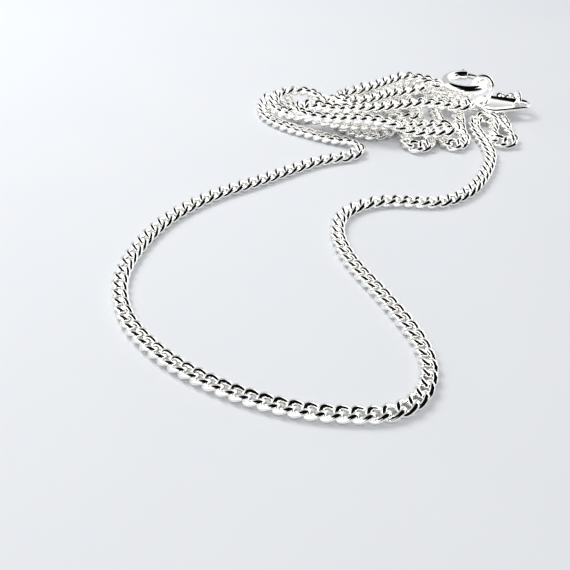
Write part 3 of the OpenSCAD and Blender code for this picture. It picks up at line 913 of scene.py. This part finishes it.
@dataclass
class LeafTab:
    """A leaf of sheet silver with a hole at each end, its top a little hollow and its edges rounded.

    Places along the tab are measured from the middle of its broad end.

    Attributes:
        at: Middle of the broad end's underside.
        turned: Turn about Z, degrees.
        thickness: Thickness of the sheet.
        broad: Radius of the broad end.
        narrow: Radius of the tip.
        reach: Distance between the two ends' middles.
        root_hole: Place and radius of the hole for the tall ring.
        tip_hole: Place and radius of the hole at the tip.
        split: Place where the two halves of the mesh meet.
        dish: Depth of the hollow in its top.
        edge: Rounding of the outer edge.
        rim: Rounding of the holes' edges.
        edge_angles: Where the outer edge's rounding has lines, degrees over level.
        rim_angles: Where the rounding of a hole's upper edge has them.
        broad_points: Points along the arc of the broad end.
        tip_points: Points along the arc of the tip.
        flank_points: Points along a flank of one half.
        split_points: Points across the split.
        top_lines: Lines from a hole out over the top.
    """

    at: Point = (19.4, 21.8, 1.25)
    turned: float = -3
    thickness: float = 0.6
    broad: float = 2.2
    narrow: float = 1.25
    reach: float = 3.6
    root_hole: tuple[float, float] = (-0.9, 0.65)
    tip_hole: tuple[float, float] = (3.6, 0.82)
    split: float = 1.2
    dish: float = 0.36
    edge: float = 0.24
    rim: float = 0.08
    edge_angles: tuple[float, ...] = (60, 30, 0, -30, -60)
    rim_angles: tuple[float, ...] = (0, 30, 60)
    broad_points: int = 33
    tip_points: int = 25
    flank_points: int = 8
    split_points: int = 11
    top_lines: int = 10

    def half(
        self, hole: tuple[float, float], towards_tip: bool
    ) -> tuple[np.ndarray, np.ndarray, np.ndarray, int]:
        """Follows the edge of one half: a flank, the arc of its end, the other flank, then the split.

        Args:
            hole: Place and radius of the half's hole.
            towards_tip: The half at the tip.

        Returns:
            Points of the edge, the directions in which it faces (none on the split) and points of the hole's
            rim, all as (n, 2) left about, and the number of points before the split.
        """
        lean = (self.broad - self.narrow) / self.reach
        flank = math.acos(lean)
        if towards_tip:
            middle, radius, side = self.reach, self.narrow, -1
            faces = np.linspace(-flank, flank, self.tip_points)
        else:
            middle, radius, side = 0.0, self.broad, 1
            faces = np.linspace(flank, 2 * np.pi - flank, self.broad_points)
        outwards = np.stack([np.cos(faces), np.sin(faces)], 1)
        arc = np.array([middle, 0.0]) + radius * outwards
        width = (self.broad - self.split * lean) / math.sin(flank)
        begin, end = np.array([self.split, side * width]), np.array([self.split, -side * width])
        share = np.linspace(0, 1, self.flank_points + 1)[:, None]
        lead, tail = begin + share[:-1] * (arc[0] - begin), arc[-1] + share[1:] * (end - arc[-1])
        across = end + np.linspace(0, 1, self.split_points + 2)[1:-1, None] * (begin - end)
        points = np.concatenate([lead, arc, tail, across])
        lead_faces, tail_faces = (np.tile(outwards[k], (self.flank_points, 1)) for k in (0, -1))
        facing = np.concatenate([lead_faces, outwards, tail_faces, np.zeros_like(across)])
        centre = np.array([hole[0], 0.0])
        return points, facing, centre + hole[1] * unit(points - centre), len(points) - self.split_points

    def height(self, spot: np.ndarray) -> np.ndarray:
        """Height against a flat top: lowest on the line between the ends' middles, level at the edge."""
        along = np.clip(spot[..., 0] / self.reach, 0, 1)
        away = np.hypot(spot[..., 0] - along * self.reach, spot[..., 1])
        return -self.dish * np.clip(1 - (away / (self.broad + along * (self.narrow - self.broad))) ** 2, 0, 1)

    def build(self, finishes: Finishes) -> None:
        """Builds the tab.

        Each half is a sheet of closed lines: from the edge of the underside in to the hole, up its wall and
        out over the hollow top. More lines round the outer edge on two quarter circles, but not at the split.

        Args:
            finishes: The necklace's materials.
        """
        shell = Shell()
        top = self.thickness
        for hole, towards_tip in ((self.root_hole, False), (self.tip_hole, True)):
            points, facing, rim, before_split = self.half(hole, towards_tip)
            outwards = unit(points - rim)
            inset, start = points - self.edge * facing, rim + self.rim * outwards
            flat = np.zeros(len(points))
            lines = [(inset, flat), (start, flat), (rim, flat + self.rim)]
            for angle in np.radians(self.rim_angles):
                spot = rim + self.rim * (1 - math.cos(angle)) * outwards
                lines.append((spot, top - self.rim * (1 - math.sin(angle)) + self.height(rim)))
            for share in np.linspace(0, 1, self.top_lines):
                spot = start + share * (inset - start)
                lines.append((spot, top + self.height(spot)))
            over = len(lines)
            for angle in np.radians(self.edge_angles):
                level = top / 2 + math.copysign(top / 2 - self.edge, angle) + self.edge * math.sin(angle)
                lines.append((inset + self.edge * math.cos(angle) * facing, flat + level))
            sheet = np.stack([np.column_stack(line) for line in lines])
            numbers = shell.spread(turn(sheet, self.turned, 2) + np.array(self.at) - ORIGIN_AT)
            shell.skin(numbers[:over])
            round_edge = np.concatenate([numbers[over - 1 :], numbers[:1]])[:, :before_split]
            shell.skin(round_edge, round_columns=False)
        shell.weld()
        finishes.dress(shell.object("leaf_tab", creased=True), Slot.CLASP, Body.NECKLACE, "chain_tab")


@dataclass(frozen=True)
class Patch:
    """A round part of the room, which the metal mirrors.

    Attributes:
        azimuth: Its direction, degrees from the far side towards the right.
        elevation: Its height, degrees over level.
        radius: Its radius, degrees as seen from the table.
        blur: Half the width of its soft rim, degrees.
        shade: Its colour.
        strength: Its brightness.
    """

    azimuth: float
    elevation: float
    radius: float
    blur: float
    shade: str
    strength: float = 1.0

    def direction(self) -> tuple[float, float, float]:
        """The patch's middle as a unit vector."""
        azimuth, elevation = math.radians(self.azimuth), math.radians(self.elevation)
        level = math.cos(elevation)
        return level * math.sin(azimuth), level * math.cos(azimuth), math.sin(elevation)


@dataclass(frozen=True)
class BlackCard:
    """A level black card over the viewer's side, for the camera and its holder. Only the metal mirrors it.

    The eye gets heavy black lines on the links that lie under it, and thin ones on the heap behind.

    Attributes:
        across: Its ends along x.
        along: Its ends along y.
        level: Its height over the table.
    """

    across: tuple[float, float] = (-40, 110)
    along: tuple[float, float] = (-90, -12)
    level: float = 45

    def material(self, last_bounce: float) -> bpy.types.Material:
        """Builds the card's paper, which later bounces pass through.

        Args:
            last_bounce: Number of bounces after which the card isn't seen.

        Returns:
            The material.
        """
        material = bpy.data.materials.new("black card")
        tree = bare_tree(material)
        bounces = add(tree, "ShaderNodeLightPath").outputs["Ray Depth"]
        late = add(
            tree, "ShaderNodeMath", {0: bounces, 1: last_bounce}, operation="GREATER_THAN"
        ).outputs["Value"]
        black = add(tree, "ShaderNodeEmission", {"Color": linear(BLACK)}).outputs["Emission"]
        clear = add(tree, "ShaderNodeBsdfTransparent").outputs["BSDF"]
        paper = add(tree, "ShaderNodeMixShader", {"Fac": late, 1: black, 2: clear}).outputs["Shader"]
        add(tree, "ShaderNodeOutputMaterial", {"Surface": paper})
        return material

    def hang(self, last_bounce: float) -> None:
        """Hangs the card where neither the camera nor the table's light meets it.

        Args:
            last_bounce: Number of bounces after which it isn't seen.
        """
        places = np.array([[[x, y, self.level] for y in self.along] for x in self.across], float)
        shell = Shell()
        shell.skin(shell.spread(places), round_columns=False)
        card = shell.object("black_card")
        card.data.materials.append(self.material(last_bounce))
        card.visible_camera = card.visible_diffuse = card.visible_shadow = card.visible_transmission = False


@dataclass(frozen=True)
class SoftBox:
    """A square lamp that faces the necklace. The metal doesn't mirror it.

    Attributes:
        name: Its name.
        at: Its place.
        size: Its width and height.
        watts: Its power.
    """

    name: str = "key_soft_box"
    at: Point = (-120, 60, 190)
    size: float = 120
    watts: float = 0.26

    def hang(self) -> None:
        """Hangs the lamp."""
        data = bpy.data.lights.new(self.name, "AREA")
        data.shape, data.size, data.energy = "SQUARE", self.size * MM, self.watts
        lamp = bpy.data.objects.new(self.name, data)
        lamp.location = Vector(self.at) * MM
        lamp.rotation_euler = (-Vector(self.at)).to_track_quat("-Z", "Y").to_euler()
        lamp.visible_glossy = False
        bpy.context.scene.collection.objects.link(lamp)


@dataclass
class Studio:
    """The camera, the table and the light.

    Attributes:
        eye: Place of the camera.
        looks_down: Angle of its view below level, degrees.
        lens: Its focal length.
        sensor: Width of its sensor.
        clip: The nearest and the furthest that it sees.
        paper: The table's finish.
        table_size: Width of the table.
        walls: Colour and strength of the room where no patch is.
        patches: The dim far side at the left, the dark low part at the right, and the dark part overhead.
        sky: Colour and strength of the even light that falls on the table.
        glow: Colour and strength of the room where metal mirrors other metal. It keeps the heap bright.
        glow_after: Number of bounces after which the glow takes the place of the patches and the card.
        card: The card that gives the front links their black lines.
        key: The lamp that gives the soft shadows.
    """

    eye: Point = (-7.64, -68.31, 43.47)
    looks_down: float = 37.78
    lens: float = 48.6
    sensor: float = 36.0
    clip: tuple[float, float] = (1.0, 5000.0)
    paper: MattTable = MattTable()
    table_size: float = 3000.0
    walls: tuple[str, float] = ("#FFFFFF", 1.6)
    patches: tuple[Patch, ...] = (
        Patch(-20, 12, 42, 14, "#FFFFFF", 0.6),
        Patch(145, 5, 46, 5, BLACK),
        Patch(180, 88, 43, 4, BLACK),
    )
    sky: tuple[str, float] = ("#F8F9FA", 0.565)
    glow: tuple[str, float] = ("#FEFDFB", 2.2)
    glow_after: float = 2.5
    card: BlackCard = BlackCard()
    key: SoftBox = SoftBox()

    def camera(self) -> None:
        """Sets the camera at the photograph's viewing angle."""
        data = bpy.data.cameras.new("camera")
        data.lens, data.sensor_width = self.lens, self.sensor
        data.clip_start, data.clip_end = (distance * MM for distance in self.clip)
        camera = bpy.data.objects.new("camera", data)
        camera.location = Vector(self.eye) * MM
        camera.rotation_euler = (math.radians(90 - self.looks_down), 0, 0)
        bpy.context.scene.collection.objects.link(camera)
        bpy.context.scene.camera = camera

    def table(self) -> None:
        """Lays the table top under the necklace."""
        half = self.table_size / 2
        sheet = np.array([[[x, y, 0] for y in (-half, half)] for x in (-half, half)])
        shell = Shell()
        shell.skin(shell.spread(sheet), round_columns=False)
        top = shell.object("table_top")
        top.data.materials.append(self.paper.material())

    def room(self) -> None:
        """Surrounds the table with a white room that has dim and dark parts, as the black lines show.

        The metal mirrors it patch by patch, and after some bounces an even glow. The table and the camera get
        an even sky.
        """
        world = bpy.data.worlds.new("room")
        bpy.context.scene.world = world
        tree = bare_tree(world)
        way = add(tree, "ShaderNodeTexCoord").outputs["Generated"]
        seen = linear(*self.walls)
        for patch in self.patches:
            nearness = add(
                tree, "ShaderNodeVectorMath", {0: way, 1: patch.direction()}, operation="DOT_PRODUCT"
            ).outputs["Value"]
            inside = add(
                tree,
                "ShaderNodeMapRange",
                {
                    "Value": nearness,
                    "From Min": math.cos(math.radians(patch.radius + patch.blur)),
                    "From Max": math.cos(math.radians(patch.radius - patch.blur)),
                },
                interpolation_type="SMOOTHSTEP",
            ).outputs["Result"]
            mix = {"Factor": inside, 6: seen, 7: linear(patch.shade, patch.strength)}
            seen = add(tree, "ShaderNodeMix", mix, data_type="RGBA").outputs[2]
        room = add(tree, "ShaderNodeBackground", {"Color": seen}).outputs["Background"]
        sky, glow = (
            add(tree, "ShaderNodeBackground", {"Color": linear(shade), "Strength": strength}).outputs[0]
            for shade, strength in (self.sky, self.glow)
        )
        rays = add(tree, "ShaderNodeLightPath").outputs
        deep = add(
            tree, "ShaderNodeMath", {0: rays["Ray Depth"], 1: self.glow_after}, operation="GREATER_THAN"
        ).outputs["Value"]
        mirrored = add(tree, "ShaderNodeMixShader", {"Fac": deep, 1: room, 2: glow}).outputs["Shader"]
        dull = add(
            tree, "ShaderNodeMath", {0: rays["Is Diffuse Ray"], 1: rays["Is Camera Ray"]}, operation="MAXIMUM"
        ).outputs["Value"]
        both = add(tree, "ShaderNodeMixShader", {"Fac": dull, 1: mirrored, 2: sky}).outputs["Shader"]
        add(tree, "ShaderNodeOutputWorld", {"Surface": both})

    def build(self) -> None:
        """Sets up the whole studio."""
        self.camera()
        self.table()
        self.room()
        self.card.hang(self.glow_after)
        self.key.hang()
        view = bpy.context.scene.view_settings
        view.view_transform, view.look, view.exposure, view.gamma = "Standard", "None", 0.0, 1.0


def main() -> None:
    """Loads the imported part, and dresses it."""
    logging.basicConfig(level=logging.INFO, format="%(name)s: %(message)s")
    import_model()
    Studio().build()
    finishes = Finishes()
    finishes.mix()
    for piece in (CurbChain(), SpringRing(), JumpRings(), LeafTab()):
        piece.build(finishes)
        LOG.info("%s is built", type(piece).__name__)


if __name__ == "__main__":
    main()
